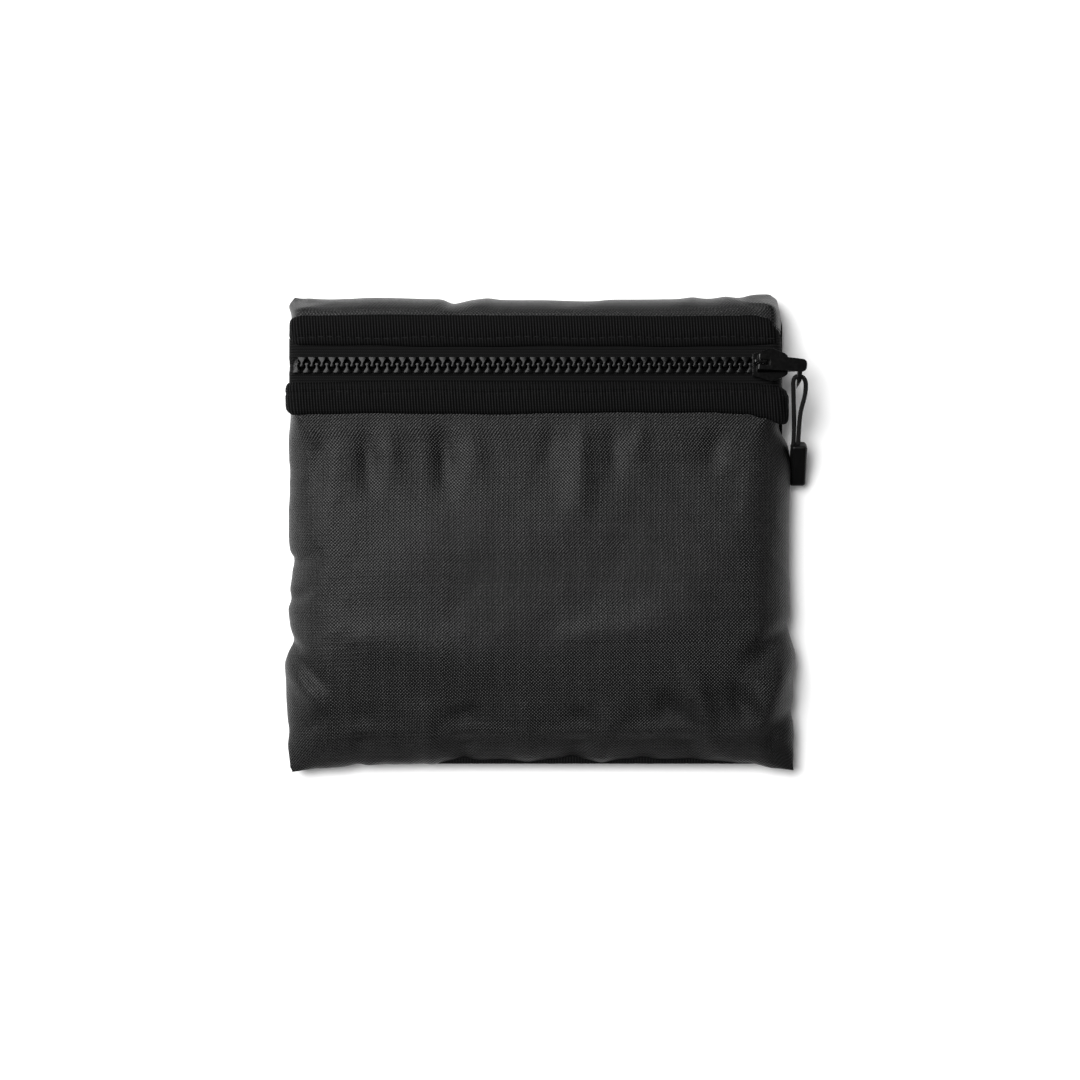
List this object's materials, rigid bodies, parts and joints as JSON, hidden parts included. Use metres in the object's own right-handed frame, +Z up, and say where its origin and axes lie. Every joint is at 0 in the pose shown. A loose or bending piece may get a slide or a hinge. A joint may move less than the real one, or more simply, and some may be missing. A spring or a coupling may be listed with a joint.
{
  "type": "foldable tote bag",
  "caption": "Foldable tote bag packed flat in its own zip pouch, with grosgrain bindings beside the zip and a pull tab with a cord loop and grip.",
  "frame": {"origin": "on the surface that the pouch lies on, under the centre of the pouch", "axes": "+X to the right along the zip, +Y towards the edge that the zip is near, +Z up, away from the surface, to the side with the zip"},
  "size_m": [0.1709, 0.156, 0.0222],
  "materials": {
    "ripstop": "black micro-ripstop nylon, faint sheen",
    "grosgrain": "black ribbed grosgrain tape",
    "zip_tape": "black woven zip tape",
    "thread": "black sewing thread",
    "teeth": "black moulded zip teeth, satin gloss",
    "slider": "black gloss enamel on die-cast metal",
    "spring": "bare spring steel",
    "cord": "black braided cord",
    "grip": "black moulded grip, satin",
    "tote_cloth": "black micro-ripstop nylon",
    "webbing": "black webbing"
  },
  "bodies": {
    "pouch": {"front_panel": "ripstop", "back_panel": "ripstop", "top_strip": "ripstop", "seam_binding": "grosgrain", "binding_lower": "grosgrain", "binding_upper": "grosgrain", "stitches_lower": "thread", "stitches_upper": "thread", "zip_tape_lower": "zip_tape", "zip_tape_upper": "zip_tape", "zip_teeth_lower": "teeth", "zip_teeth_upper": "teeth", "tote_wall_lower": "tote_cloth", "tote_wall_upper": "tote_cloth", "handle_a": "webbing", "handle_b": "webbing"},
    "slider": {"slider_body": "slider", "slider_bridge": "slider", "lock_spring": "spring"},
    "tab": {"pull_tab": "slider"},
    "cord": {"pull_cord": "cord", "cord_grip": "grip"}
  },
  "joints": [
    {"name": "zip_slide", "type": "slide", "parent": "pouch", "child": "slider", "axis": [1, 0, 0], "range_m": [-0.148, 0], "deforming": ["zip_teeth_lower", "zip_teeth_upper", "pull_cord", "cord_grip"]},
    {"name": "tab_hinge", "type": "hinge", "parent": "slider", "child": "tab", "pos_m": [0.0722, 0.0568, 0.02045], "axis": [-0.0872, -0.9962, 0], "range_deg": [0, 180]},
    {"name": "cord_swing", "type": "hinge", "parent": "tab", "child": "cord", "pos_m": [0.08514, 0.05205, 0.01985], "axis": [-0.9962, 0.0872, 0], "range_deg": [0, 28]}
  ],
  "couplings": [
    {"joint": "cord_swing", "follows": "zip_slide", "rad_per_m": -3.26}
  ]
}
